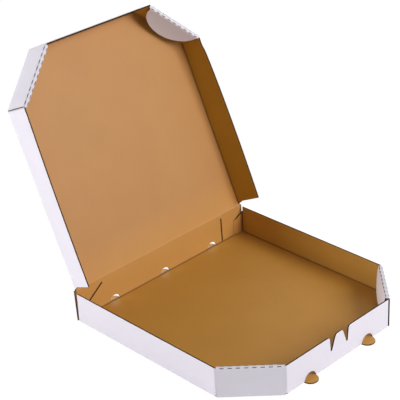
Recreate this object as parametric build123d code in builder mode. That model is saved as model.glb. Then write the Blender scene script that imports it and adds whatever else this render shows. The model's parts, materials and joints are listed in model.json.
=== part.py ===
from build123d import *
from math import atan2, cos, degrees, radians, sin, sqrt
import os

os.makedirs("parts", exist_ok=True)

# Board, all sizes in millimetres
board = 1.8
layer_gap = 0.25
fold_radius = 1.7
crease_round = 1.2

# Tray
tray_width = 323.0
tray_depth = 323.0
tray_height = 43.0
tray_corner_leg = 59.4
ridge_rise = 0.6
corner_tab = 37.0
tray_flap_lean = 2.0

# Rear wall, its vents, slits and the side walls' rear tabs
rear_height = 45.5
rear_lean = 2.0
vent_radius = 10.0
vent_inset = 66.5
vent_count = 3
slit_width = 1.7
upright_slit_inset = 44.0
upright_slit_foot = 2.6
upright_slit_drop = 6.0
slant_foot_inset = 20.5
slant_foot_z = 19.4
slant_top_inset = 47.2
slant_top_drop = 7.0
rear_tab_length = 19.0
rear_tab_high = 36.0
rear_tab_low = 25.0

# Front wall, its lock tongue and floor tongues
floor_tongue_radius = 11.0
floor_tongue_x = 56.0
tongue_cut = 0.3
lock_foot_half = 14.0
lock_head_half = 6.6
lock_foot_z = 21.5
lock_drop = 0.4
lock_notch = 2.6
lock_mouth = 4.6
lock_head_round = 5.0
lock_shoulder_round = 4.0
lock_root_round = 0.9

# Lid, closing inside the tray
lid_side_clearance = 0.5
lid_front_clearance = 1.4
lid_wall = 41.1
lid_corner_leg = 65.0
lid_angle = 114.5
lid_flap_lean = 16.0
hinge_clearance = 0.3
lid_end_setback = 2.2
lid_end_clearance = 0.5

# Corner roll-over
flap_depth = 31.0
flap_inset = 2.5
dash_length = 5.2
dash_width = 0.5
dash_pitch = 10.0

# Worked out from the sizes above
half_board = board / 2
layer = board + layer_gap
stack = 3 * board + 2 * layer_gap
lean_angle = atan2(rear_lean, rear_height)
vent_pitch = tray_width / 2 - vent_inset
upright_slit_top = rear_height - upright_slit_drop
slant_top_z = rear_height - slant_top_drop
ridge_top = tray_height + ridge_rise
hinge_y = tray_depth / 2 + rear_height * sin(lean_angle) - half_board * cos(lean_angle)
hinge_z = rear_height * cos(lean_angle) + half_board * sin(lean_angle)
lid_width = tray_width - 2 * (board + lid_side_clearance)
lid_length = hinge_y + tray_depth / 2 - board - lid_front_clearance
hinge_gap = half_board + hinge_clearance
rear_tab_inner = tray_depth / 2 - layer - board
lid_end_low = hinge_y - rear_tab_inner + lid_end_clearance
lid_end_turn = hinge_z - rear_tab_high


def corner_plane(width, front, leg, base):
    # Left cut-off corner: X along the cut, Y into the box.
    middle = (leg / 2 - width / 2, front + leg / 2, base)
    return Plane(origin=middle, x_dir=(1, -1, 0), z_dir=(0, 0, 1))


def corner_roll(place, leg, top, lean):
    # Corner panel that rolls over the wall tabs and ends in a half-round flap.
    width = leg * sqrt(2)
    section = Plane(origin=place.origin, x_dir=place.y_dir, z_dir=place.x_dir)
    hang = place.z_dir * -cos(radians(lean)) + place.y_dir * sin(radians(lean))
    root = place.origin + place.y_dir * (stack - half_board) + place.z_dir * (top - board)
    with BuildPart() as roll:
        with BuildSketch(section):
            with BuildLine():
                Polyline(
                    (0, 0), (0, top), (stack, top), (stack, top - 2 * board),
                    (stack - board, top - 2 * board), (stack - board, top - board),
                    (board, top - board), (board, 0), close=True,
                )
            make_face()
            fillet(vertices().group_by(Axis.Y)[-1], crease_round)
        extrude(amount=width / 2, both=True)
        with BuildSketch(Plane(origin=root, x_dir=place.x_dir, z_dir=place.x_dir.cross(hang))):
            Ellipse(width / 2 - flap_inset, flap_depth)
            Rectangle(width, flap_depth, align=(Align.CENTER, Align.MIN), mode=Mode.INTERSECT)
        extrude(amount=half_board, both=True)
        # Perforated scores along both edges of the roll-over.
        for inward, sign in ((0, -1), (stack, 1)):
            edge = place.origin + place.y_dir * inward + place.z_dir * top
            with BuildSketch(Plane(origin=edge, x_dir=place.x_dir, z_dir=place.y_dir * sign + place.z_dir)):
                with GridLocations(dash_pitch, dash_pitch, int(width / dash_pitch), 1):
                    Rectangle(dash_length, dash_width)
            extrude(amount=-(board + layer_gap / 2) * sqrt(2), mode=Mode.SUBTRACT)
    return roll.part


def tab_trim(place, leg, top):
    # Sloping lower edges of the two corner tabs and room for the roll-over above them.
    half = leg / sqrt(2) + layer_gap
    inner = place.origin + place.y_dir * (layer + board + layer_gap / 2)
    with BuildPart() as trim:
        with BuildSketch(Plane(origin=inner, x_dir=place.x_dir, z_dir=-place.y_dir)):
            with BuildLine():
                Polyline((-half, board), (0, board + half), (half, board), close=True)
            make_face()
            with Locations((0, top - layer)):
                Rectangle(2 * half, layer, align=(Align.CENTER, Align.MIN))
        extrude(amount=layer)
    return trim.part


def fold_inset(leg):
    # Distance from a cut-off corner's square to the middle of a wall's fold.
    return leg + (layer + half_board) * sqrt(2) - half_board


tab_step = corner_tab / sqrt(2)
tray_front = -tray_depth / 2
tray_corner = corner_plane(tray_width, tray_front, tray_corner_leg, 0)
tray_roll = corner_roll(tray_corner, tray_corner_leg, ridge_top, tray_flap_lean)
tray_trim = tab_trim(tray_corner, tray_corner_leg, ridge_top)

with BuildPart() as tray:
    tray_fold = fold_inset(tray_corner_leg)
    side_x = -tray_width / 2 + half_board
    side_front = tray_front + tray_fold
    side_rear = tray_depth / 2 - layer - half_board
    with BuildSketch(Plane.XY.offset(board)):
        with BuildLine():
            FilletPolyline(
                (side_x + tab_step, side_front - tab_step), (side_x, side_front),
                (side_x, side_rear), (-tray_width / 2 + rear_tab_length, side_rear), radius=fold_radius,
            )
        trace(line_width=board)
    extrude(amount=tray_height - board)
    # Sloping top edge of the rear tab and a slip gap under it.
    with BuildSketch(Plane.XZ.offset(-side_rear)):
        inner_x = side_x + half_board
        far_x = -tray_width / 2 + rear_tab_length
        with BuildLine():
            Polyline(
                (inner_x, rear_tab_high), (far_x, rear_tab_low), (far_x + board, rear_tab_low),
                (far_x + board, tray_height + board), (inner_x, tray_height + board), close=True,
            )
        make_face()
        with Locations((inner_x, board)):
            Rectangle(rear_tab_length, layer_gap, align=(Align.MIN, Align.MIN))
    extrude(amount=board, both=True, mode=Mode.SUBTRACT)
    mirror(about=Plane.YZ)
    front_x = -tray_width / 2 + tray_fold
    front_y = tray_front + half_board
    with BuildSketch(Plane.XY.offset(board)):
        with BuildLine():
            FilletPolyline(
                (front_x - tab_step, front_y + tab_step), (front_x, front_y),
                (-front_x, front_y), (-front_x + tab_step, front_y + tab_step), radius=fold_radius,
            )
        trace(line_width=board)
    extrude(amount=tray_height - board)
    # Notches that free the lock tongue.
    lock_top = tray_height - lock_drop
    mouth_half = lock_foot_half + lock_mouth
    with BuildSketch(Plane.XZ.offset(-tray_front)):
        with BuildLine():
            Polyline(
                (lock_foot_half, lock_foot_z), (lock_foot_half + lock_notch, lock_foot_z),
                (mouth_half, tray_height), (mouth_half, tray_height + board),
                (0, tray_height + board), (0, lock_top), (lock_head_half, lock_top), close=True,
            )
        make_face()
        head = vertices().filter_by(lambda v: abs(v.X - lock_head_half) < layer_gap)
        fillet(head, lock_head_round)
        fillet(vertices().group_by(Axis.Y)[0], lock_root_round)
        mirror(about=Plane.YZ)
    extrude(amount=-2 * board, mode=Mode.SUBTRACT)
    shoulders = edges().filter_by(Axis.Y).filter_by_position(Axis.Z, tray_height, tray_height)
    fillet(shoulders.filter_by(lambda e: abs(abs(e.center().X) - mouth_half) < layer_gap),
           lock_shoulder_round)
    add(tray_trim, mode=Mode.SUBTRACT)
    mirror(tray_trim, about=Plane.YZ, mode=Mode.SUBTRACT)
    # Rear wall, standing on the floor.
    rear_plane = Plane(origin=(0, tray_depth / 2, 0), x_dir=(1, 0, 0),
                       z_dir=(0, -cos(lean_angle), sin(lean_angle)))
    with BuildSketch(rear_plane):
        Rectangle(tray_width, rear_height, align=(Align.CENTER, Align.MIN))
    extrude(amount=board)
    with BuildSketch():
        Rectangle(tray_width, tray_depth)
        chamfer(vertices().group_by(Axis.Y)[0], tray_corner_leg)
    extrude(amount=board)
    add(tray_roll)
    mirror(tray_roll, about=Plane.YZ)
    fillet(edges().filter_by(GeomType.LINE).group_by(Axis.Z)[0], crease_round)
    # Bead of the rear wall at the lid's crease.
    with BuildSketch(Plane.YZ):
        with Locations((hinge_y, hinge_z)):
            Circle(half_board)
    extrude(amount=tray_width / 2, both=True)
    # Vents and slits of the rear wall, half-round openings of the front wall.
    with BuildSketch(rear_plane):
        with GridLocations(vent_pitch, vent_pitch, vent_count, 1):
            Circle(vent_radius)
        with Locations((tray_width / 2 - upright_slit_inset, (upright_slit_foot + upright_slit_top) / 2)):
            Rectangle(slit_width, upright_slit_top - upright_slit_foot)
        rise = slant_top_z - slant_foot_z
        run = slant_top_inset - slant_foot_inset
        slant_x = (slant_foot_inset + slant_top_inset) / 2 - tray_width / 2
        with Locations((slant_x, (slant_foot_z + slant_top_z) / 2)):
            SlotOverall(sqrt(run ** 2 + rise ** 2), slit_width, rotation=degrees(atan2(rise, run)))
    extrude(amount=board + layer_gap / 2, mode=Mode.SUBTRACT)
    with BuildSketch(Plane.XZ.offset(-tray_front)):
        with GridLocations(2 * floor_tongue_x, floor_tongue_radius, 2, 1):
            Circle(floor_tongue_radius)
    extrude(amount=-board - layer_gap / 2, mode=Mode.SUBTRACT)
    # Half-round tongues that stay in the floor's plane.
    with BuildSketch():
        with Locations((0, tray_front)):
            with GridLocations(2 * floor_tongue_x, floor_tongue_radius, 2, 1):
                Circle(floor_tongue_radius - tongue_cut)
        with Locations((0, tray_depth / 2)):
            with GridLocations(vent_pitch, vent_pitch, vent_count, 1):
                Circle(vent_radius - tongue_cut)
    extrude(amount=board)
    tray.part.label = "tray"

lid_front = -lid_length
lid_base = -half_board
lid_corner = corner_plane(lid_width, lid_front, lid_corner_leg, lid_base)
lid_roll = corner_roll(lid_corner, lid_corner_leg, lid_wall + ridge_rise, lid_flap_lean)
lid_trim = tab_trim(lid_corner, lid_corner_leg, lid_wall + ridge_rise)

with BuildPart() as lid_flat:
    lid_fold = fold_inset(lid_corner_leg)
    side_x = -lid_width / 2 + half_board
    with BuildSketch(Plane.XY.offset(half_board)):
        with BuildLine():
            FilletPolyline(
                (side_x + tab_step, lid_front + lid_fold - tab_step), (side_x, lid_front + lid_fold),
                (side_x, -hinge_gap), radius=fold_radius,
            )
        trace(line_width=board)
    extrude(amount=lid_wall - board)
    mirror(about=Plane.YZ)
    front_x = -lid_width / 2 + lid_fold
    front_y = lid_front + half_board
    with BuildSketch(Plane.XY.offset(half_board)):
        with BuildLine():
            FilletPolyline(
                (front_x - tab_step, front_y + tab_step), (front_x, front_y),
                (-front_x, front_y), (-front_x + tab_step, front_y + tab_step), radius=fold_radius,
            )
        trace(line_width=board)
    extrude(amount=lid_wall - board)
    add(lid_trim, mode=Mode.SUBTRACT)
    mirror(lid_trim, about=Plane.YZ, mode=Mode.SUBTRACT)
    # Rear ends of the side walls, cut back to pass the rear tabs.
    with BuildSketch(Plane.YZ):
        with BuildLine():
            Polyline(
                (0, lid_base), (-lid_end_setback, lid_base), (-lid_end_setback, half_board),
                (-lid_end_low, lid_end_turn), (-lid_end_low, lid_wall), (0, lid_wall), close=True,
            )
        make_face()
    extrude(amount=lid_width, both=True, mode=Mode.SUBTRACT)
    with BuildSketch(Plane.XY.offset(lid_base)):
        with Locations((0, -hinge_gap)):
            Rectangle(lid_width, lid_length - hinge_gap, align=(Align.CENTER, Align.MAX))
        chamfer(vertices().group_by(Axis.Y)[0], lid_corner_leg)
    extrude(amount=board)
    add(lid_roll)
    mirror(lid_roll, about=Plane.YZ)
    fillet(edges().filter_by(GeomType.LINE).group_by(Axis.Z)[0].sort_by(Axis.Y)[:-1], crease_round)

lid_tilt = radians(lid_angle)
lid_place = Plane(origin=(0, hinge_y, hinge_z), x_dir=(-1, 0, 0), z_dir=(0, -sin(lid_tilt), -cos(lid_tilt)))

with BuildPart(lid_place) as lid:
    add(lid_flat.part)
    lid.part.label = "lid"

export_step(tray.part, "parts/tray.step")
export_step(lid.part, "parts/lid.step")
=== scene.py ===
import bpy
import json
import math
import numpy as np
from mathutils import Matrix, Vector
from mathutils.geometry import delaunay_2d_cdt
from mathutils.kdtree import KDTree


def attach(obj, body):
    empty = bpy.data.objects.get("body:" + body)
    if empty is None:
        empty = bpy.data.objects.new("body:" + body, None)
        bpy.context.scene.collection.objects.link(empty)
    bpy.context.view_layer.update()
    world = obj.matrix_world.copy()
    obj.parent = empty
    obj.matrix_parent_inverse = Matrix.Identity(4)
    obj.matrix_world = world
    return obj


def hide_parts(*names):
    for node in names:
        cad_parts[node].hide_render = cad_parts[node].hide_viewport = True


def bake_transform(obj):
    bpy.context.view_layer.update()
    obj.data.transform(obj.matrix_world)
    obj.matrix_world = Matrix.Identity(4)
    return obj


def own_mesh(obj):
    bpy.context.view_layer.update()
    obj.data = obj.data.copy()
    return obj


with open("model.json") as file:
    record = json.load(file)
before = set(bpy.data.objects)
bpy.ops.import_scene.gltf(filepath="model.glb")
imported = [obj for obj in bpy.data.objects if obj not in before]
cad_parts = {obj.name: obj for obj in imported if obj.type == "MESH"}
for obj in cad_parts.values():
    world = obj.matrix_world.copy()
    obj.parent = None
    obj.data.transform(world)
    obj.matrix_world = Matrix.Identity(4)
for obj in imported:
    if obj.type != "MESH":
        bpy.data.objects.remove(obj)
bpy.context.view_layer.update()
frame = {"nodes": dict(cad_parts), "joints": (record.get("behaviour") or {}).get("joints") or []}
hinge = frame["joints"][0]
mm = 0.001
print("frame:", sorted(frame["nodes"]), "hinge at", hinge["pos_m"])

# One sheet of fluted board, white liner outside and brown liner inside, all in millimetres
board = {
    "thick": 1.8, "liner": 0.3, "medium": 0.26, "mediumSet": 0.1, "flutePitch": 3.3, "fluteStep": 0.6,
    "recess": 1.2, "crushed": 0.25, "crease": 1.0, "tabFold": 1.7, "layerGap": 0.25, "slitBorder": 1.2,
}
meshing = {
    "step": 9.0, "clear": 4.5, "arcSteps": 5, "arcTurn": 15, "lineOver": 1.0, "lineInset": 0.001,
    "slitStep": 0.5, "smallCut": 100.0, "sharpTurn": 34, "weld": 0.01, "join": 1e-5, "sliver": 0.0005,
    "cornerPull": 0.3,
}
tiny = 1e-6
halfBoard = board["thick"] / 2
layer = board["thick"] + board["layerGap"]
creaseInset = halfBoard + board["crease"]      # outer face of a wall to where its crease starts
creaseArc = board["crease"] * math.pi / 2
root2 = math.sqrt(2)


def wallV(height):
    # height above the base's outer face, as a distance along the flat sheet from the crease's start
    return height - creaseInset + creaseArc


def bend(across, rise, start, turn, radius):
    # rolls everything past start round a crease, towards positive rise, or away for a negative turn
    side = 1 if turn >= 0 else -1
    past = across - start
    angle = np.clip(past / radius, 0, abs(turn))
    beyond = np.maximum(past - radius * abs(turn), 0)
    reach = radius - side * rise
    across = start + np.minimum(past, 0) + reach * np.sin(angle) + beyond * np.cos(angle)
    rise = side * (radius - reach * np.cos(angle) + beyond * np.sin(angle))
    return across, rise


def roundedPath(corners):
    # corners are (u, v) or (u, v, radius), and rounded ones become arcs
    path = []
    for index, corner in enumerate(corners):
        here = np.array(corner[:2], float)
        if len(corner) == 2:
            path.append(here)
            continue
        before = np.array(corners[index - 1][:2], float) - here
        after = np.array(corners[(index + 1) % len(corners)][:2], float) - here
        before, after = before / np.linalg.norm(before), after / np.linalg.norm(after)
        halfAngle = math.acos(np.clip(before @ after, -1, 1)) / 2
        middle = (before + after) / np.linalg.norm(before + after)
        centre = here + middle * corner[2] / math.sin(halfAngle)
        first = here + before * corner[2] / math.tan(halfAngle) - centre
        last = here + after * corner[2] / math.tan(halfAngle) - centre
        sweep = math.atan2(first[0] * last[1] - first[1] * last[0], first @ last)
        steps = max(2, math.ceil(abs(math.degrees(sweep)) / meshing["arcTurn"]))
        for step in range(steps + 1):
            c, s = math.cos(sweep * step / steps), math.sin(sweep * step / steps)
            path.append(centre + np.array([c * first[0] - s * first[1], s * first[0] + c * first[1]]))
    return path


def arcPath(centre, radiusU, radiusV, fromTurn, toTurn):
    steps = math.ceil(abs(toTurn - fromTurn) / meshing["arcTurn"])
    turns = np.radians(np.linspace(fromTurn, toTurn, steps + 1))
    return [(centre[0] + radiusU * math.cos(t), centre[1] + radiusV * math.sin(t)) for t in turns]


def spread(first, last, step):
    # evenly spaced points from first up to, and without, last
    first, last = np.array(first, float), np.array(last, float)
    count = max(1, math.ceil(np.linalg.norm(last - first) / step - tiny))
    return [first + (last - first) * i / count for i in range(count)]


def inside(points, loops):
    # even-odd test against all loops at once
    hit = np.zeros(len(points), bool)
    for loop in loops:
        for a, b in zip(loop, np.roll(loop, -1, axis=0)):
            spans = (a[1] > points[:, 1]) != (b[1] > points[:, 1])
            rise = b[1] - a[1] if b[1] != a[1] else tiny
            hit ^= spans & (points[:, 0] < (b[0] - a[0]) * (points[:, 1] - a[1]) / rise + a[0])
    return hit


def meshPanel(rim, cuts, lines):
    # triangles of a flat panel with cuts, whose edges follow the crease lines
    step = meshing["step"]
    loops = [np.array([p for a, b in zip(loop, loop[1:] + loop[:1]) for p in spread(a, b, step)])
             for loop in [list(map(tuple, rim))] + [list(map(tuple, cut)) for cut in cuts]]
    points, edges = [], []
    for loop in loops:
        base = len(points)
        points += list(loop)
        edges += [(base + i, base + (i + 1) % len(loop)) for i in range(len(loop))]
    for first, last in lines:
        base = len(points)
        run = spread(first, last, step) + [np.array(last, float)]
        points += run
        edges += [(base + i, base + i + 1) for i in range(len(run) - 1)]
    low, high = loops[0].min(0), loops[0].max(0)
    grid = np.stack(np.meshgrid(np.arange(low[0] + step / 2, high[0], step),
                                np.arange(low[1] + step / 2, high[1], step)), -1).reshape(-1, 2)
    grid = grid[inside(grid, loops)]
    taken = np.array(points)
    clear = np.array([np.min(np.sum((taken - g) ** 2, 1)) > meshing["clear"] ** 2 for g in grid], bool)
    points += list(grid[clear]) if len(grid) else []
    flat, _, faces, _, _, _ = delaunay_2d_cdt([Vector(p) for p in points], edges, [], 0, meshing["join"])
    flat = np.array([tuple(p) for p in flat])
    faces = np.array([f for f in faces if len(f) == 3])
    faces = faces[inside(flat[faces].mean(1), loops)]
    a, b, c = (flat[faces[:, i]] for i in range(3))
    area = (b - a)[:, 0] * (c - a)[:, 1] - (b - a)[:, 1] * (c - a)[:, 0]
    faces[area < 0] = faces[area < 0][:, ::-1]
    longest = np.max([np.linalg.norm(q - p, axis=1) for p, q in ((a, b), (b, c), (c, a))], axis=0)
    faces = faces[np.abs(area) > longest * meshing["sliver"]]
    used, faces = np.unique(faces, return_inverse=True)
    return flat[used], faces.reshape(-1, 3)


def panel(rim, folds, origin, along, outward, cuts=(), lift=None, slits=()):
    # a flat piece of the sheet: its outline and cuts in (u, v), and the folds that stand it up
    return {"rim": rim, "folds": folds, "origin": np.array(origin, float), "along": np.array(along, float),
            "outward": np.array(outward, float), "cuts": list(cuts) + [slit["cut"] for slit in slits],
            "lift": lift, "slits": slits}


def foldLines(shape):
    # the lines that the mesh follows: steps round each crease, and the borders of slits
    rim = np.array([p[:2] for p in shape["rim"]], float)
    over, inset = meshing["lineOver"], meshing["lineInset"]
    low, high = rim.min(0), rim.max(0)
    for axis, start, turn, radius in shape["folds"]:
        for step in range(meshing["arcSteps"] + 1):
            at = start + (-1 if axis == "u-" else 1) * radius * abs(turn) * step / meshing["arcSteps"]
            if axis == "v" and low[1] + inset < at < high[1] - inset:
                yield (low[0] - over, at), (high[0] + over, at)
            elif axis != "v" and low[0] < at < high[0]:
                yield (at, low[1] - over), (at, high[1] + over)
    for slit in shape["slits"]:
        yield from zip(slit["ring"], slit["ring"][1:] + slit["ring"][:1])


def foldPanel(shape, flat, rise):
    u, v, h = flat[:, 0].copy(), flat[:, 1].copy(), np.full(len(flat), float(rise))
    if shape["lift"]:
        h = h + shape["lift"](u, v)
    for axis, start, turn, radius in shape["folds"]:
        if axis == "v":
            v, h = bend(v, h, start, turn, radius)
        elif axis == "u+":
            u, h = bend(u, h, start, turn, radius)
        else:
            u, h = bend(-u, h, -start, turn, radius)
            u = -u
    up = np.array([0, 0, 1.0])
    return shape["origin"] + u[:, None] * shape["along"] + v[:, None] * shape["outward"] + h[:, None] * up


def creaseShadeShare(shape, flat):
    # how deep each point lies in a crease, from 0 beside it to 1 at its middle, and 1 along a slit; it
    # weights the painted shade in creases and round slits, over the creases' own crushed fibres, and the
    # creases' roughness
    share = np.zeros(len(flat))
    for axis, start, turn, radius in shape["folds"]:
        if turn < 0:
            continue
        past = flat[:, 1] - start if axis == "v" else (flat[:, 0] - start) * (-1 if axis == "u-" else 1)
        share = np.maximum(share, np.sin(math.pi * np.clip(past / (radius * turn), 0, 1)))
    for slit in shape["slits"]:
        edge = [p for a, b in zip(slit["cut"], slit["cut"][1:] + slit["cut"][:1])
                for p in spread(a, b, meshing["slitStep"])]
        near = np.min(np.linalg.norm(flat[:, None] - np.array(edge)[None], axis=2), axis=1)
        share[near < board["slitBorder"] / 2] = 1
    return share


def boardMesh(name, panels, place, materials, pressedEdge=None):
    # welds the folded panels into one sheet and gives it thickness and cut edges; pressedEdge gives
    # each point of the flat sheet -1 for an open cut, or the slot of the liner that closes its edge
    inner, outer, blank, faces = [], [], [], []
    count = 0
    for shape in panels:
        flat, tris = meshPanel(roundedPath(shape["rim"]), shape["cuts"], list(foldLines(shape)))
        if np.cross(shape["along"], shape["outward"])[2] < 0:
            tris = tris[:, ::-1]
        inner.append(foldPanel(shape, flat, halfBoard))
        outer.append(foldPanel(shape, flat, -halfBoard))
        sheet = shape["origin"] + flat[:, :1] * shape["along"] + flat[:, 1:] * shape["outward"]
        # the blank attribute keeps the flat sheet's place and, third, the weight of the painted crease and
        # slit shade
        blank.append(np.column_stack([sheet[:, :2], creaseShadeShare(shape, flat)]))
        faces.append(tris + count)
        count += len(flat)
    inner, outer, blank, faces = map(np.concatenate, (inner, outer, blank, faces))
    first, weld = np.unique(weldMap(outer), return_inverse=True)
    inner, outer, blank, faces = inner[first], outer[first], blank[first], weld[faces]
    pressed = pressedEdge(blank) if pressedEdge else np.full(len(blank), -1)
    crushed = pressed == 0
    inner[crushed] = outer[crushed] + (inner - outer)[crushed] * board["crushed"]
    rims = rimLoops(faces)
    points, quads, slots = [inner, outer], [], []
    quads += [tuple(f) for f in faces] + [tuple(f[::-1] + len(inner)) for f in faces]
    slots += [0] * len(faces) + [1] * len(faces)
    blanks = [blank, blank]
    for loop in rims:
        addRim(loop, inner, outer, blank, pressed[loop], points, quads, slots, blanks)
    points, blanks = np.concatenate(points), np.concatenate(blanks)
    mesh = bpy.data.meshes.new(name)
    mesh.from_pydata([place @ Vector(p * mm) for p in points], [], [tuple(int(i) for i in q) for q in quads])
    for material in materials:
        mesh.materials.append(material)
    mesh.polygons.foreach_set("material_index", slots)
    store = mesh.attributes.new("blank", "FLOAT_VECTOR", "POINT")
    store.data.foreach_set("vector", blanks.astype(np.float32).ravel())
    mesh.shade_smooth()
    mesh.set_sharp_from_angle(angle=math.radians(meshing["sharpTurn"]))
    mesh.validate()
    piece = bpy.data.objects.new(name, mesh)
    bpy.context.collection.objects.link(piece)
    print(name, "rims", len(rims), "faces", len(mesh.polygons))
    return piece


def weldMap(points):
    # for each point, the first point at the same place
    tree = KDTree(len(points))
    for index, point in enumerate(points):
        tree.insert(point, index)
    tree.balance()
    return np.array([min(found[1] for found in tree.find_range(p, meshing["weld"])) for p in points])


def rimLoops(faces):
    # the open edges of the sheet, as closed loops of points
    sides = np.concatenate([faces[:, [0, 1]], faces[:, [1, 2]], faces[:, [2, 0]]])
    _, index, times = np.unique(np.sort(sides, 1), axis=0, return_index=True, return_counts=True)
    following = {int(a): int(b) for a, b in sides[index[times == 1]]}
    loops = []
    while following:
        start, here = next(iter(following.items()))
        del following[start]
        loop = [start]
        while here != start:
            loop.append(here)
            here = following.pop(here)
        loops.append(np.array(loop))
    return loops


def addRim(loop, inner, outer, blank, pressed, points, quads, slots, blanks):
    # small cuts get plain sides, long edges show both liners and the fluted paper between them
    top, low, flat = inner[loop], outer[loop], blank[loop]
    size = len(loop)
    after = np.roll(np.arange(size), -1)

    def grow(rows, flats):
        base = sum(len(p) for p in points)
        points.append(rows)
        blanks.append(flats)
        return base + np.arange(len(rows))

    def strip(a, b, slot=None):
        # the face looks away from the board with a above b
        n = np.roll(np.arange(len(a)), -1)
        for i in range(len(a)):
            quads.append((a[i], b[i], b[n[i]], a[n[i]]))
            slots.append(2 if slot is None else int(slot[i]))

    topRow, lowRow = loop, loop + len(inner)
    if np.linalg.norm(flat[after] - flat, axis=1).sum() < meshing["smallCut"]:
        strip(topRow, lowRow)
        return
    normal = (top - low) / board["thick"]
    run = (top + low)[after] / 2 - (top + low) / 2
    inward = np.cross(normal, run / np.maximum(np.linalg.norm(run, axis=1), tiny)[:, None])
    inward = inward + np.roll(inward, 1, axis=0)
    inward /= np.maximum(np.linalg.norm(inward, axis=1), meshing["cornerPull"])[:, None]
    liner = normal * board["liner"]
    recess = inward * np.where(pressed < 0, board["recess"], 0)[:, None]
    rows = [topRow, grow(top - liner, flat), grow(top - liner + recess, flat),
            grow(low + liner + recess, flat), grow(low + liner, flat), lowRow]
    edgeSlot = np.where((pressed >= 0) & (pressed[after] == pressed), pressed, 2)
    for a, b in zip(rows, rows[1:]):
        strip(a, b, edgeSlot)
    # the fluted medium, a closed band that waves between the liners
    length = np.linalg.norm(flat[after] - flat, axis=1)
    steps = np.maximum(1, np.ceil(length / board["fluteStep"])).astype(int)
    source = np.repeat(np.arange(size), steps)
    share = np.concatenate([np.arange(s) / s for s in steps])[:, None]
    line, lean, deep, paper = (row[source] * (1 - share) + row[after][source] * share
                               for row in ((top + low) / 2, normal, inward, flat))
    swing = halfBoard - board["liner"] - board["medium"] / 2
    wave = swing * np.sin(2 * math.pi * paper[:, :1] / board["flutePitch"])
    half, near, far = board["medium"] / 2, board["mediumSet"], board["recess"]
    corners = [(near, half), (near, -half), (far, -half), (far, half)]
    band = [grow(line + deep * d + lean * (wave + h), paper) for d, h in corners]
    for a, b in zip(band, band[1:] + band[:1]):
        strip(a, b)


# Rolled-over corner, wall tabs and flaps, shared by tray and lid
corner = {"tab": 37.0, "ridgeRise": 0.6, "flapDepth": 31.0, "flapInset": 2.5, "dashLength": 5.2,
          "dashWidth": 0.5, "dashPitch": 10.0, "dashTurn": 0.25, "bowSoft": 40.0}
stack = 3 * board["thick"] + 2 * board["layerGap"]
tabTangent = board["tabFold"] * math.tan(math.pi / 8)
tabArc = board["tabFold"] * math.pi / 4
tabFootRise = halfBoard + board["layerGap"] - layer + board["thick"] / root2
slipV = wallV(board["thick"] + board["layerGap"])
legInset = creaseInset * (root2 - 1)


def foldInset(leg):
    return leg + (layer + halfBoard) * root2 - halfBoard


def tabRim(fold, side, wallTop):
    # a wall's corner tab from its foot to the wall's top edge, with a 45 degree lower edge
    def at(d):
        return fold + side * (tabArc + d - tabTangent)
    foot = slipV - wallV(tabFootRise)
    trim = (layer + halfBoard) - board["thick"] / root2 - board["layerGap"]
    tabTop = wallV(wallTop + corner["ridgeRise"] - layer)
    return [(fold, slipV), (at(foot), slipV), (at(corner["tab"]), wallV(tabFootRise + corner["tab"])),
            (at(corner["tab"]), tabTop), (at(trim), tabTop), (at(trim), wallV(wallTop))]


def cornerPanel(size, side, part, frontY):
    # panel, ridge and half-round flap over one cut-off corner; part is whole, panel or flap
    leg, top = size["cornerLeg"], size["wall"] + corner["ridgeRise"]
    half = leg / root2
    joinHalf = half - creaseInset * math.tan(math.pi / 8)
    firstFold = wallV(top - halfBoard - board["crease"])
    ridge = stack - board["thick"] - 2 * board["crease"]
    lastFold = firstFold + creaseArc + ridge
    flapTurn = math.pi / 2 - math.radians(size["flapLean"])
    flapRoot = lastFold + board["crease"] * flapTurn
    flapHalf = half - corner["flapInset"]
    flapArc = arcPath((0, flapRoot), flapHalf, corner["flapDepth"], 0, 180)
    sides = [(joinHalf, 0), (half, creaseArc / 2), (half, lastFold)]
    mirrored = [(-u, v) for u, v in reversed(sides)]
    rims = {"whole": sides + flapArc + mirrored, "panel": sides + mirrored,
            "flap": [(half, lastFold)] + flapArc + [(-half, lastFold)]}
    rows = {"whole": (firstFold, lastFold), "panel": (firstFold,), "flap": (lastFold,)}[part]
    count = int(2 * half / corner["dashPitch"])
    cuts = []
    for row in rows:
        middle = row + board["crease"] * (math.pi / 4 if row == firstFold else corner["dashTurn"] * flapTurn)
        for n in range(count):
            u = (n - (count - 1) / 2) * corner["dashPitch"]
            left, right = u - corner["dashLength"] / 2, u + corner["dashLength"] / 2
            low, high = middle - corner["dashWidth"] / 2, middle + corner["dashWidth"] / 2
            cuts.append([(left, low), (right, low), (right, high), (left, high)])
    folds = [("v", lastFold, flapTurn, board["crease"]), ("v", firstFold, math.pi / 2, board["crease"]),
             ("v", 0, math.pi / 2, board["crease"])]

    def curl(u, v):
        return -size["flapCurl"] * np.clip((v - flapRoot) / corner["flapDepth"], 0, 1) ** 2
    middle = np.array([side * (size["width"] / 2 - leg / 2), frontY + leg / 2, size["level"]])
    outward = np.array([side, -1, 0]) / root2
    along = np.array([side, 1, 0]) / root2
    return panel(rims[part], folds, middle - outward * creaseInset, along, outward, cuts, curl)


def softLift(height, edge, front, rear, cutSide):
    # a slight bow of a large panel that dies out at its creases
    def lift(u, v):
        reach = [edge - np.abs(u), v - front, rear - v, (cutSide + v - front - np.abs(u)) / root2]
        share = [np.maximum(d, 0) / (np.maximum(d, 0) + corner["bowSoft"]) for d in reach]
        return height * np.prod(share, axis=0)
    return lift


def tongueNotch(x, radius):
    # the wall's half-round opening over a floor tongue, left to right
    start = math.degrees(math.asin(creaseInset / radius))
    arc = [(u, wallV(v)) for u, v in arcPath((x, 0), radius, radius, 180 - start, start)]
    return [(x - radius, 0)] + arc + [(x + radius, 0)]


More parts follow.
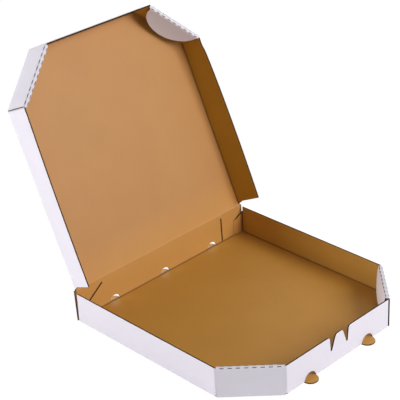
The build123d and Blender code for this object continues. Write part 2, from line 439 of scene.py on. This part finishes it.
def tongueRim(x, edge, outer, radius, gap):
    # the tongue that stays in the floor's plane, left to right, past the crease line at edge
    side = 1 if outer > edge else -1
    arc = arcPath((x, outer), radius - gap, side * (radius - gap), 180, 0)
    left, right = x - radius, x + radius
    return [(left, edge), (left + gap, edge)] + arc + [(right - gap, edge), (right, edge)]


# Tray
tray = {"width": 323.0, "depth": 323.0, "wall": 43.0, "level": halfBoard, "floorLift": 0.3,
        "cornerLeg": 59.4, "flapLean": 9.0, "flapCurl": 0.0,
        "rearWall": 45.5, "rearLean": 2.0, "ventRadius": 10.0, "ventX": (-95.0, 0.0, 95.0),
        "tongueRadius": 11.0, "tongueX": (-56.0, 56.0), "tongueGap": 0.3,
        "rearTab": 19.0, "rearTabHigh": 36.0, "rearTabLow": 25.0, "tabLean": 0.95, "slitWidth": 1.7,
        "uprightSlit": ((117.5, 2.6), (117.5, 39.5)), "slantSlit": ((-141.0, 19.4), (-114.3, 38.5))}
lock = {"foot": 14.0, "head": 6.6, "footHeight": 21.5, "drop": 0.4, "notch": 2.6, "mouth": 4.6,
        "headRound": 5.0, "shoulderRound": 4.0, "rootRound": 0.9}
trayHalf = tray["width"] / 2
trayFront = -tray["depth"] / 2
rearTurn = math.atan2(tray["rearLean"], tray["rearWall"])
rearInset = creaseInset * (1 - math.sin(rearTurn)) / math.cos(rearTurn)
rearFold = math.pi / 2 - rearTurn
trayFoldAt = trayFront + foldInset(tray["cornerLeg"]) + tabTangent
rearFoldAt = -trayFront - layer - halfBoard - board["tabFold"]
rearFoldArc = board["tabFold"] * math.pi / 2
rearTabEnd = rearFoldAt + rearFoldArc + tray["rearTab"] - halfBoard - board["tabFold"]


def slit(ends, width):
    # a cut and the ring round it where its border of painted shade ends
    first, last = (np.array([u, wallV(v)]) for u, v in ends)
    along = (last - first) / np.linalg.norm(last - first)
    across = np.array([-along[1], along[0]])

    def outline(grow):
        side, end = across * (width / 2 + grow), along * grow
        return [first - side - end, last - side + end, last + side + end, first + side - end]
    return {"cut": outline(0), "ring": outline(board["slitBorder"])}


def trayFloor():
    edge, front, rear = trayHalf - creaseInset, trayFront + creaseInset, -trayFront - rearInset
    cutFront = trayFront + tray["cornerLeg"] + legInset
    cutSide = trayHalf - tray["cornerLeg"] - legInset
    frontJoin = trayHalf - foldInset(tray["cornerLeg"]) - tabTangent
    path = [(-cutSide, front), (-frontJoin, front)]
    for x in tray["tongueX"]:
        path += tongueRim(x, front, trayFront, tray["tongueRadius"], tray["tongueGap"])
    path += [(frontJoin, front), (cutSide, front)]
    path += [(edge, y) for y in (cutFront, trayFoldAt, rearFoldAt, rear)]
    for x in reversed(tray["ventX"]):
        path += reversed(tongueRim(x, rear, -trayFront, tray["ventRadius"], tray["tongueGap"]))
    path += [(-edge, y) for y in (rear, rearFoldAt, trayFoldAt, cutFront)]
    lift = softLift(tray["floorLift"], edge, front, rear, cutSide)
    return panel(path, [], (0, 0, tray["level"]), (1, 0, 0), (0, 1, 0), lift=lift)


def trayPressed(sheet):
    # kraft at the rear tabs' ends, pressed flat on the rear wall, and white at the left corner panel's ends
    x, y = sheet[:, 0], sheet[:, 1]
    tabEnd = (np.abs(y - rearTabEnd) < meshing["weld"]) & (np.abs(x) > trayHalf - creaseInset)
    along = (y - trayFront - x - trayHalf) / root2
    panelEnd = np.abs(np.abs(along) - tray["cornerLeg"] / root2) < meshing["weld"]
    return np.where(tabEnd, 0, np.where(panelEnd & (x < 0), 1, -1))


def traySide(side):
    front, rear, tabEnd = trayFoldAt, rearFoldAt, rearTabEnd
    step = rear + rearFoldArc / 2
    rim = [(front, 0), (rear, 0), (rear, slipV), (tabEnd, slipV), (tabEnd, wallV(tray["rearTabLow"])),
           (step, wallV(tray["rearTabHigh"])), (step, wallV(tray["wall"]))]
    rim += reversed(tabRim(front, -1, tray["wall"]))
    folds = [("u-", front, math.pi / 4, board["tabFold"]), ("u+", rear, math.pi / 2, board["tabFold"]),
             ("v", 0, math.pi / 2, board["crease"])]

    def leanBack(u, v):
        # the rear tab follows the leaning rear wall towards its end
        share = np.clip((u - rear - rearFoldArc) / (tabEnd - rear - rearFoldArc), 0, 1)
        gap = board["layerGap"] + np.maximum(v - wallV(0), 0) * tray["rearLean"] / tray["rearWall"]
        return -share * tray["tabLean"] * gap
    origin = (side * (trayHalf - creaseInset), 0, tray["level"])
    return panel(rim, folds, origin, (0, 1, 0), (side, 0, 0), lift=leanBack)


def trayFrontWall():
    end = trayHalf - foldInset(tray["cornerLeg"]) - tabTangent
    top = wallV(tray["wall"])
    rim = [(-end, 0)]
    for x in tray["tongueX"]:
        rim += tongueNotch(x, tray["tongueRadius"])
    rim += [(end, 0)] + tabRim(end, 1, tray["wall"])
    mouth, foot = lock["foot"] + lock["mouth"], wallV(lock["footHeight"])
    half = [(mouth, top, lock["shoulderRound"]), (lock["foot"] + lock["notch"], foot, lock["rootRound"]),
            (lock["foot"], foot, lock["rootRound"]), (lock["head"], top - lock["drop"], lock["headRound"])]
    rim += half + [(-u, v, r) for u, v, r in reversed(half)]
    rim += reversed(tabRim(-end, -1, tray["wall"]))
    folds = [("u-", -end, math.pi / 4, board["tabFold"]), ("u+", end, math.pi / 4, board["tabFold"]),
             ("v", 0, math.pi / 2, board["crease"])]
    return panel(rim, folds, (0, trayFront + creaseInset, tray["level"]), (1, 0, 0), (0, -1, 0))


# The crease between rear wall and lid, a band of the same board bent round to meet the lid
crease = {"reach": 1.5, "lidAngle": 114.5}
lidTurn = math.radians(crease["lidAngle"] - 90) - rearTurn
creaseBend = crease["reach"] / math.tan(lidTurn / 2)
rearTopV = tray["rearWall"] - creaseInset * math.tan(rearFold / 2) + board["crease"] * rearFold


def trayRear():
    edge, top = trayHalf - creaseInset, rearTopV - crease["reach"]
    rim = [(-edge, 0)]
    for x in tray["ventX"]:
        rim += tongueNotch(x, tray["ventRadius"])
    side = [(trayHalf, creaseArc / 2), (trayHalf, rearTopV), (lidHalf, rearTopV), (lidHalf, top)]
    rim += [(edge, 0)] + side + [(-u, v) for u, v in reversed(side)]
    slits = [slit(tray[key], tray["slitWidth"]) for key in ("uprightSlit", "slantSlit")]
    folds = [("v", 0, rearFold, board["crease"])]
    return panel(rim, folds, (0, -trayFront - rearInset, tray["level"]), (1, 0, 0), (0, 1, 0), slits=slits)


def creaseBand():
    start = rearTopV - crease["reach"]
    end = start + creaseBend * lidTurn
    rim = [(-lidHalf, start), (lidHalf, start), (lidHalf, end), (-lidHalf, end)]
    folds = [("v", start, -lidTurn, creaseBend), ("v", 0, rearFold, board["crease"])]
    return panel(rim, folds, (0, -trayFront - rearInset, tray["level"]), (1, 0, 0), (0, 1, 0))


# Lid, drawn lying on its outer face with the hinge axis at y 0 and its front at -y
lid = {"width": 318.4, "length": 320.9, "wall": 41.1, "level": 0.0, "lift": 0.8,
       "cornerLeg": 65.0, "flapLean": 14.5, "flapCurl": 3.2, "seam": 1.6, "frontSeam": 10.0,
       "endSetback": 2.2, "endLow": 5.45, "endTurn": 10.4,
       "splayLeft": 4.6, "splayRight": 6.4, "splayTurn": 2.2}
lidHalf = lid["width"] / 2
lidFoldAt = -lid["length"] + foldInset(lid["cornerLeg"]) + tabTangent
lidSeamV = creaseArc + lid["seam"]
lidSeamU = lidFoldAt + lid["frontSeam"]


def lidPanel():
    edge, front, rear = lidHalf - creaseInset, -lid["length"] + creaseInset, -crease["reach"]
    cutFront = -lid["length"] + lid["cornerLeg"] + legInset
    cutSide = lidHalf - lid["cornerLeg"] - legInset
    frontJoin = lidHalf - foldInset(lid["cornerLeg"]) - tabTangent
    half = [(frontJoin, front), (cutSide, front), (edge, cutFront), (edge, lidFoldAt),
            (edge, -lid["endSetback"]), (lidHalf, -lid["endSetback"]), (lidHalf, rear)]
    path = half + [(-u, v) for u, v in reversed(half)]
    lift = softLift(-lid["lift"], edge, front, rear, cutSide)
    return panel(path, [], (0, 0, lid["level"]), (1, 0, 0), (0, 1, 0), lift=lift)


def lidSide(side, part):
    # root is the crease with the corner tab, wall is the rest, which splays out towards its rear end
    top, turnV = wallV(lid["wall"]), wallV(lid["endTurn"])
    slope = (lid["endLow"] - lid["endSetback"]) / (turnV - creaseArc)
    seamEnd = -lid["endSetback"] - slope * lid["seam"]
    folds = [("u-", lidFoldAt, math.pi / 4, board["tabFold"]), ("v", 0, math.pi / 2, board["crease"])]
    if part == "root":
        rim = [(lidFoldAt, 0), (-lid["endSetback"], 0), (-lid["endSetback"], creaseArc), (seamEnd, lidSeamV),
               (lidSeamU, lidSeamV), (lidSeamU, top)] + tabRim(lidFoldAt, -1, lid["wall"])[::-1]
        splay = None
    else:
        rim = [(lidSeamU, lidSeamV), (seamEnd, lidSeamV), (-lid["endLow"], turnV), (-lid["endLow"], top),
               (lidSeamU, top)]

        def splay(u, v):
            back = np.clip((u - lidSeamU) / (-lid["endLow"] - lidSeamU), 0, 1)
            if side > 0:
                out = lid["splayLeft"] * back * (2 - back)
            else:
                out = lid["splayRight"] * np.sqrt(np.sin(back * lid["splayTurn"]))
            return -out * (v - lidSeamV) / (top - lidSeamV)
    origin = (side * (lidHalf - creaseInset), 0, lid["level"])
    return panel(rim, folds, origin, (0, 1, 0), (side, 0, 0), lift=splay)


def lidFrontWall():
    end = lidHalf - foldInset(lid["cornerLeg"]) - tabTangent
    rim = [(-end, 0), (end, 0)] + tabRim(end, 1, lid["wall"])
    rim += reversed(tabRim(-end, -1, lid["wall"]))
    folds = [("u-", -end, math.pi / 4, board["tabFold"]), ("u+", end, math.pi / 4, board["tabFold"]),
             ("v", 0, math.pi / 2, board["crease"])]
    return panel(rim, folds, (0, -lid["length"] + creaseInset, lid["level"]), (1, 0, 0), (0, -1, 0))


# Shader maths: wraps a socket, and expressions on it add their Math nodes
class Wire:
    def __init__(self, tree, socket=None):
        self.tree, self.socket = tree, socket

    def node(self, kind, settings=None, sockets=None, output=0):
        made = self.tree.nodes.new("ShaderNode" + kind)
        for key, value in (settings or {}).items():
            if key == "stops":
                setStops(made.color_ramp, value)
            else:
                setattr(made, key, value)
        for key, value in (sockets or {}).items():
            if isinstance(value, Wire):
                self.tree.links.new(value.socket, made.inputs[key])
            else:
                made.inputs[key].default_value = value
        return Wire(self.tree, made.outputs[output])

    def math(self, operation, first, second=0.0):
        return self.node("Math", {"operation": operation}, {0: first, 1: second})

    def __add__(self, other):
        return self.math("ADD", self, other)

    def __sub__(self, other):
        return self.math("SUBTRACT", self, other)

    def __rsub__(self, other):
        return self.math("SUBTRACT", other, self)

    def __mul__(self, other):
        return self.math("MULTIPLY", self, other)

    def __truediv__(self, other):
        return self.math("DIVIDE", self, other)


def setStops(ramp, stops):
    while len(ramp.elements) < len(stops):
        ramp.elements.new(0.5)
    for element, (place, value) in zip(ramp.elements, stops):
        element.position = place
        element.color = (value, value, value, 1)


def tint(red, green, blue):
    # an sRGB colour from 0 to 255 as the linear one that a socket takes
    shares = (red / 255, green / 255, blue / 255)
    return (*(c / 12.92 if c <= 0.04045 else ((c + 0.055) / 1.055) ** 2.4 for c in shares), 1.0)


def newMaterial(name):
    material = bpy.data.materials.new(name)
    material.use_nodes = True
    tree = material.node_tree
    shader = tree.nodes["Principled BSDF"]
    return material, Wire(tree), shader


def join(wire, shader, socket):
    wire.tree.links.new(wire.socket, shader.inputs[socket])


# Detail and stretch of the paper's noises
noises = {"fibre": (3.0, (1.0, 0.12, 1.0)), "cloud": (2.0, (1.0, 1.0, 1.0)), "speck": (1.0, (1.0, 0.6, 1.0))}


def paperMaps(maker, grain):
    # fibres along the sheet, cloudy formation, specks, the flutes' faint washboard, the weight of painted
    # shade in creases and along the score lines, and zones of painted shade (deep) and painted light (pale)
    blank = maker.node("Attribute", {"attribute_name": "blank"}, output=1)

    def noise(name):
        detail, stretch = noises[name]
        place = maker.node("Mapping", None, {"Vector": blank, "Scale": stretch})
        return maker.node("TexNoise", {"noise_dimensions": "3D"},
                          {"Vector": place, "Scale": grain[name + "Scale"], "Detail": detail})
    fibre, cloud, speck = (noise(name) for name in noises)
    across, back, fold = (maker.node("SeparateXYZ", None, {"Vector": blank}, output=n) for n in range(3))
    wash = maker.math("SINE", across * (2 * math.pi / board["flutePitch"]))
    # score lines add painted shade, over the crease's own crushed fibres, along the base's side creases and
    # one end crease
    if "scoreAt" in grain:
        aside = maker.math("ABSOLUTE", maker.math("ABSOLUTE", across) - grain["scoreAt"])
        fold = maker.math("MAXIMUM", fold, 1 - aside / grain["scoreReach"])
    if "scoreEnd" in grain:
        behind = maker.math("ABSOLUTE", back - grain["scoreEnd"])
        fold = maker.math("MAXIMUM", fold, (1 - behind / grain["scoreReach"]) * grain["scoreEndShare"])
    # deep paints shade on the walls (on the lid also its front wall); pale paints light near the hinge, on
    # the tray's rear wall and on the lid's panel
    pale = deep = None
    if "paleFrom" in grain:
        deep = maker.math("GREATER_THAN", maker.math("ABSOLUTE", across), grain["scoreAt"])
        deep = deep * maker.math("LESS_THAN", back, grain["deepTo"])
        if "deepFrom" in grain:
            deep = maker.math("MAXIMUM", deep, maker.math("LESS_THAN", back, grain["deepFrom"]))
        pale = maker.node("MapRange", {"clamp": True},
                          {"Value": back, 1: grain["paleFrom"], 2: grain["paleTo"]}) * (1 - deep)
        if "paleOnly" in grain:
            pale = pale * maker.math("GREATER_THAN", back, grain["paleOnly"])
    return fibre, cloud, speck, wash, fold, {"pale": pale, "deep": deep}


def linerMaterial(name, finish):
    material, maker, shader = newMaterial(name)
    fibre, cloud, speck, wash, fold, zones = paperMaps(maker, finish)

    def blend(share, first, second):
        return maker.node("Mix", {"data_type": "RGBA"}, {0: share, 6: first, 7: second}, output=2)
    swing = (fibre - 0.5) * finish["fibreTone"] + (cloud - 0.5) * finish["cloudTone"]
    tone = swing + wash * finish["washTone"] + 0.5
    tone = maker.math("MINIMUM", maker.math("MAXIMUM", tone, 0.0), 1.0)
    colour = blend(tone, finish["dark"], finish["light"])
    # the zones blend in painted shade on the walls (deep) and painted light near the hinge (pale)
    for zone, share in zones.items():
        if share:
            colour = blend(share, colour, blend(tone, finish[zone + "Dark"], finish[zone + "Light"]))
    stops = ((finish["speckFrom"], 0), (finish["speckFrom"] + finish["speckSoft"], 1))
    flecks = maker.node("ValToRGB", {"stops": stops}, {0: speck})
    colour = blend(flecks * finish["speckShare"], colour, finish["speck"])
    # fold blends in painted shade in creases and round slits, over the creases' own darker crushed fibres
    colour = blend(fold * finish["creaseShadeShare"], colour, finish["fold"])
    join(colour, shader, "Base Color")
    rough = (fibre - 0.5) * finish["roughSwing"] + fold * finish["foldRough"] + finish["rough"]
    join(rough, shader, "Roughness")
    height = fibre * finish["fibreBump"] + wash * finish["washBump"]
    bump = maker.node("Bump", None, {"Strength": 1.0, "Distance": mm, "Height": height})
    join(bump, shader, "Normal")
    shader.inputs["Specular IOR Level"].default_value = finish["gloss"]
    return material


# dark and light are the liner's tones; the deep ones are painted shade on the walls, the pale ones painted
# light near the hinge, and fold is painted shade in creases over the creases' own crushed fibres
kraftFinish = {"dark": tint(178, 124, 43), "light": tint(198, 144, 58), "speck": tint(120, 80, 34),
               "paleDark": tint(193, 138, 70), "paleLight": tint(214, 159, 88),
               "deepDark": tint(178, 130, 43), "deepLight": tint(198, 150, 58),
               "fold": tint(92, 46, 4), "creaseShadeShare": 0.9, "foldRough": 0.35,
               "fibreScale": 0.55, "cloudScale": 0.018, "speckScale": 0.7, "fibreTone": 0.3, "cloudTone": 0.5,
               "washTone": 0.02, "speckFrom": 0.68, "speckSoft": 0.05, "speckShare": 0.15,
               "rough": 0.55, "roughSwing": 0.12, "fibreBump": 0.03, "washBump": 0.012, "gloss": 0.6}
whiteFinish = {"dark": tint(218, 213, 222), "light": tint(232, 227, 237), "speck": tint(190, 183, 192),
               "fold": tint(218, 213, 222), "creaseShadeShare": 0.5, "foldRough": 0.0,
               "fibreScale": 0.5, "cloudScale": 0.02, "speckScale": 0.8, "fibreTone": 0.4, "cloudTone": 0.4,
               "washTone": 0.03, "speckFrom": 0.72, "speckSoft": 0.05, "speckShare": 0.2,
               "rough": 0.55, "roughSwing": 0.12, "fibreBump": 0.03, "washBump": 0.012, "gloss": 0.35}
# the cut edges' and flutes' dark brown is the board's brown with painted shade of the open flutes
cutFinish = {"dark": tint(52, 34, 13), "light": tint(84, 57, 27), "speck": tint(44, 27, 11),
             "fold": tint(62, 42, 18), "creaseShadeShare": 0.3, "foldRough": 0.0,
             "fibreScale": 1.4, "cloudScale": 0.05, "speckScale": 1.2, "fibreTone": 0.8, "cloudTone": 0.4,
             "washTone": 0.0, "speckFrom": 0.66, "speckSoft": 0.05, "speckShare": 0.4,
             "rough": 0.9, "roughSwing": 0.1, "fibreBump": 0.05, "washBump": 0.0, "gloss": 0.15}

whiteLiner = linerMaterial("whiteLiner", whiteFinish)
cutBoard = linerMaterial("cutBoard", cutFinish)
scoreOut = creaseArc / 2 - creaseInset
# the score settings place painted crease shade; deep marks the side walls for painted shade and pale the rear
# wall for painted light
trayKraft = linerMaterial("trayKraft", {**kraftFinish, "scoreAt": trayHalf + scoreOut, "scoreReach": 3.4,
                                        "scoreEnd": scoreOut - trayFront, "scoreEndShare": 0.95,
                                        "deepTo": rearFoldAt, "paleOnly": scoreOut - trayFront,
                                        "paleFrom": 60, "paleTo": rearTopV - trayFront})
# the lid's own dark and light tones are the same kraft painted darker, painted shade for how the lid is lit;
# deep marks its walls and front wall for painted shade, pale its panel near the hinge for painted light
lidKraft = linerMaterial("lidKraft", {**kraftFinish, "dark": tint(172, 115, 45), "light": tint(192, 135, 63),
                                      "scoreAt": lidHalf + scoreOut, "scoreReach": 3.4,
                                      "scoreEnd": -lid["length"] - scoreOut, "scoreEndShare": 0.9,
                                      "deepDark": tint(176, 126, 24), "deepLight": tint(196, 146, 36),
                                      "deepFrom": -lid["length"] - scoreOut, "deepTo": 1,
                                      "paleDark": tint(186, 125, 42), "paleLight": tint(207, 146, 60),
                                      "paleFrom": -50, "paleTo": 0})
trayMaterials = [trayKraft, whiteLiner, cutBoard]
lidMaterials = [lidKraft, whiteLiner, cutBoard]
print("materials made")

# The box
pivot = Vector(hinge["pos_m"])
tilt = math.radians(crease["lidAngle"])
lidPlace = Matrix.Translation(pivot) @ Matrix(((-1, 0, 0, 0), (0, math.cos(tilt), -math.sin(tilt), 0),
                                               (0, -math.sin(tilt), -math.cos(tilt), 0), (0, 0, 0, 1)))
atRest = Matrix.Identity(4)

trayPanels = [trayFloor(), traySide(-1), traySide(1), trayFrontWall(), trayRear()]
trayPanels += [cornerPanel(tray, side, "panel", trayFront) for side in (-1, 1)]
trayBoard = boardMesh("trayBoard", trayPanels, atRest, trayMaterials, trayPressed)
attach(trayBoard, "tray")
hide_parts("tray")

# The tray's corner flaps, leaning in as they stand while the lid is up
for side, name in ((-1, "trayFlapLeft"), (1, "trayFlapRight")):
    flap = boardMesh(name, [cornerPanel(tray, side, "flap", trayFront)], atRest, trayMaterials)
    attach(flap, "tray")
    foot = Vector((side * (trayHalf - tray["cornerLeg"] / 2), trayFront + tray["cornerLeg"] / 2, 0))
    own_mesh(flap)

lidPanels = [lidPanel(), lidSide(-1, "root"), lidSide(1, "root"), lidFrontWall()]
lidPanels += [cornerPanel(lid, side, "whole", -lid["length"]) for side in (-1, 1)]
lidBoard = boardMesh("lidBoard", lidPanels, lidPlace, lidMaterials)
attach(lidBoard, "lid")
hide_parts("lid")

# The lid's side walls, splayed out as they stand while it is open
for side, name in ((-1, "lidWallRight"), (1, "lidWallLeft")):
    wall = boardMesh(name, [lidSide(side, "wall")], lidPlace, lidMaterials)
    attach(wall, "lid")
    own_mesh(wall)

hingeBand = boardMesh("hingeCrease", [creaseBand()], atRest, trayMaterials)
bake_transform(hingeBand)
print("box folded")

# Studio: pale floor that keeps the shadow, white behind, soft lamps
studio = {"floorSize": 30.0, "floorColour": (0.9, 0.9, 0.9, 1), "floorRough": 0.9, "floorWhite": 0.93,
          "floorGlow": 1.04, "worldLight": 0.18}
lamps = {
    "frontKey": {"place": (0.62, -1.4, 1.08), "aim": (0, 0, 0.1), "size": (0.9, 0.9), "watts": 27},
    "backFill": {"place": (0.7, 2.6, 1.1), "aim": (0, 0.2, 0.15), "size": (1.4, 1.0), "watts": 14},
    "leftLow": {"place": (-1.92, 1.1, 0.36), "aim": (0, 0, 0.1), "size": (1.6, 0.5), "watts": 34.5},
}


def seenRays(maker):
    # 1 for what the camera sees, also in a reflection or through something clear, and 0 for lighting
    rays = [maker.node("LightPath", output=f"Is {kind} Ray") for kind in ("Camera", "Glossy", "Transmission")]
    return maker.math("MINIMUM", rays[0] + rays[1] + rays[2], 1.0)


def makeFloor():
    mesh = bpy.data.meshes.new("floor")
    half = studio["floorSize"] / 2
    corners = [(-half, -half, 0), (half, -half, 0), (half, half, 0), (-half, half, 0)]
    mesh.from_pydata(corners, [], [(0, 1, 2, 3)])
    material, maker, shader = newMaterial("paleFloor")
    shader.inputs["Base Color"].default_value = studio["floorColour"]
    shader.inputs["Roughness"].default_value = studio["floorRough"]
    white = maker.node("Emission", None, {"Color": (1, 1, 1, 1), "Strength": studio["floorGlow"]})
    mixed = maker.node("MixShader", None, {0: seenRays(maker) * studio["floorWhite"],
                                           1: Wire(maker.tree, shader.outputs[0]), 2: white})
    maker.tree.links.new(mixed.socket, maker.tree.nodes["Material Output"].inputs["Surface"])
    mesh.materials.append(material)
    floor = bpy.data.objects.new("floor", mesh)
    bpy.context.collection.objects.link(floor)


def makeWorld():
    world = bpy.data.worlds.new("studioWorld")
    bpy.context.scene.world = world
    world.use_nodes = True
    maker = Wire(world.node_tree)
    backdrop = world.node_tree.nodes["Background"]
    backdrop.inputs["Color"].default_value = (1, 1, 1, 1)
    join(seenRays(maker) * (1 - studio["worldLight"]) + studio["worldLight"], backdrop, "Strength")


def makeLamps():
    for name, lamp in lamps.items():
        light = bpy.data.lights.new(name, "AREA")
        light.shape = "RECTANGLE"
        light.size, light.size_y = lamp["size"]
        light.energy = lamp["watts"]
        holder = bpy.data.objects.new(name, light)
        bpy.context.collection.objects.link(holder)
        holder.location = lamp["place"]
        holder.rotation_mode = "QUATERNION"
        holder.rotation_quaternion = (Vector(lamp["aim"]) - Vector(lamp["place"])).to_track_quat("-Z", "Y")


# Camera at the photograph's viewing angle
view = {"azimuth": -43.62, "elevation": 27.98, "roll": -2.87, "distance": 1.7644,
        "target": (-0.0258, 0.0529, 0.1666), "lens": 121.9, "sensor": 36.0}


def makeCamera():
    turn, rise, roll = (math.radians(view[key]) for key in ("azimuth", "elevation", "roll"))
    back = Vector((math.sin(turn) * math.cos(rise), -math.cos(turn) * math.cos(rise), math.sin(rise)))
    right = Vector((math.cos(turn), math.sin(turn), 0))
    up = back.cross(right)
    tilted = right * math.cos(roll) + up * math.sin(roll)
    upright = up * math.cos(roll) - right * math.sin(roll)
    lens = bpy.data.cameras.new("camera")
    lens.sensor_width = view["sensor"]
    lens.lens = view["lens"]
    camera = bpy.data.objects.new("camera", lens)
    bpy.context.collection.objects.link(camera)
    spin = Matrix((tilted, upright, back)).transposed().to_4x4()
    camera.matrix_world = Matrix.Translation(Vector(view["target"]) + back * view["distance"]) @ spin
    bpy.context.scene.camera = camera


makeFloor()
makeWorld()
makeLamps()
makeCamera()
bpy.context.scene.view_settings.view_transform = "Standard"
print("studio set")
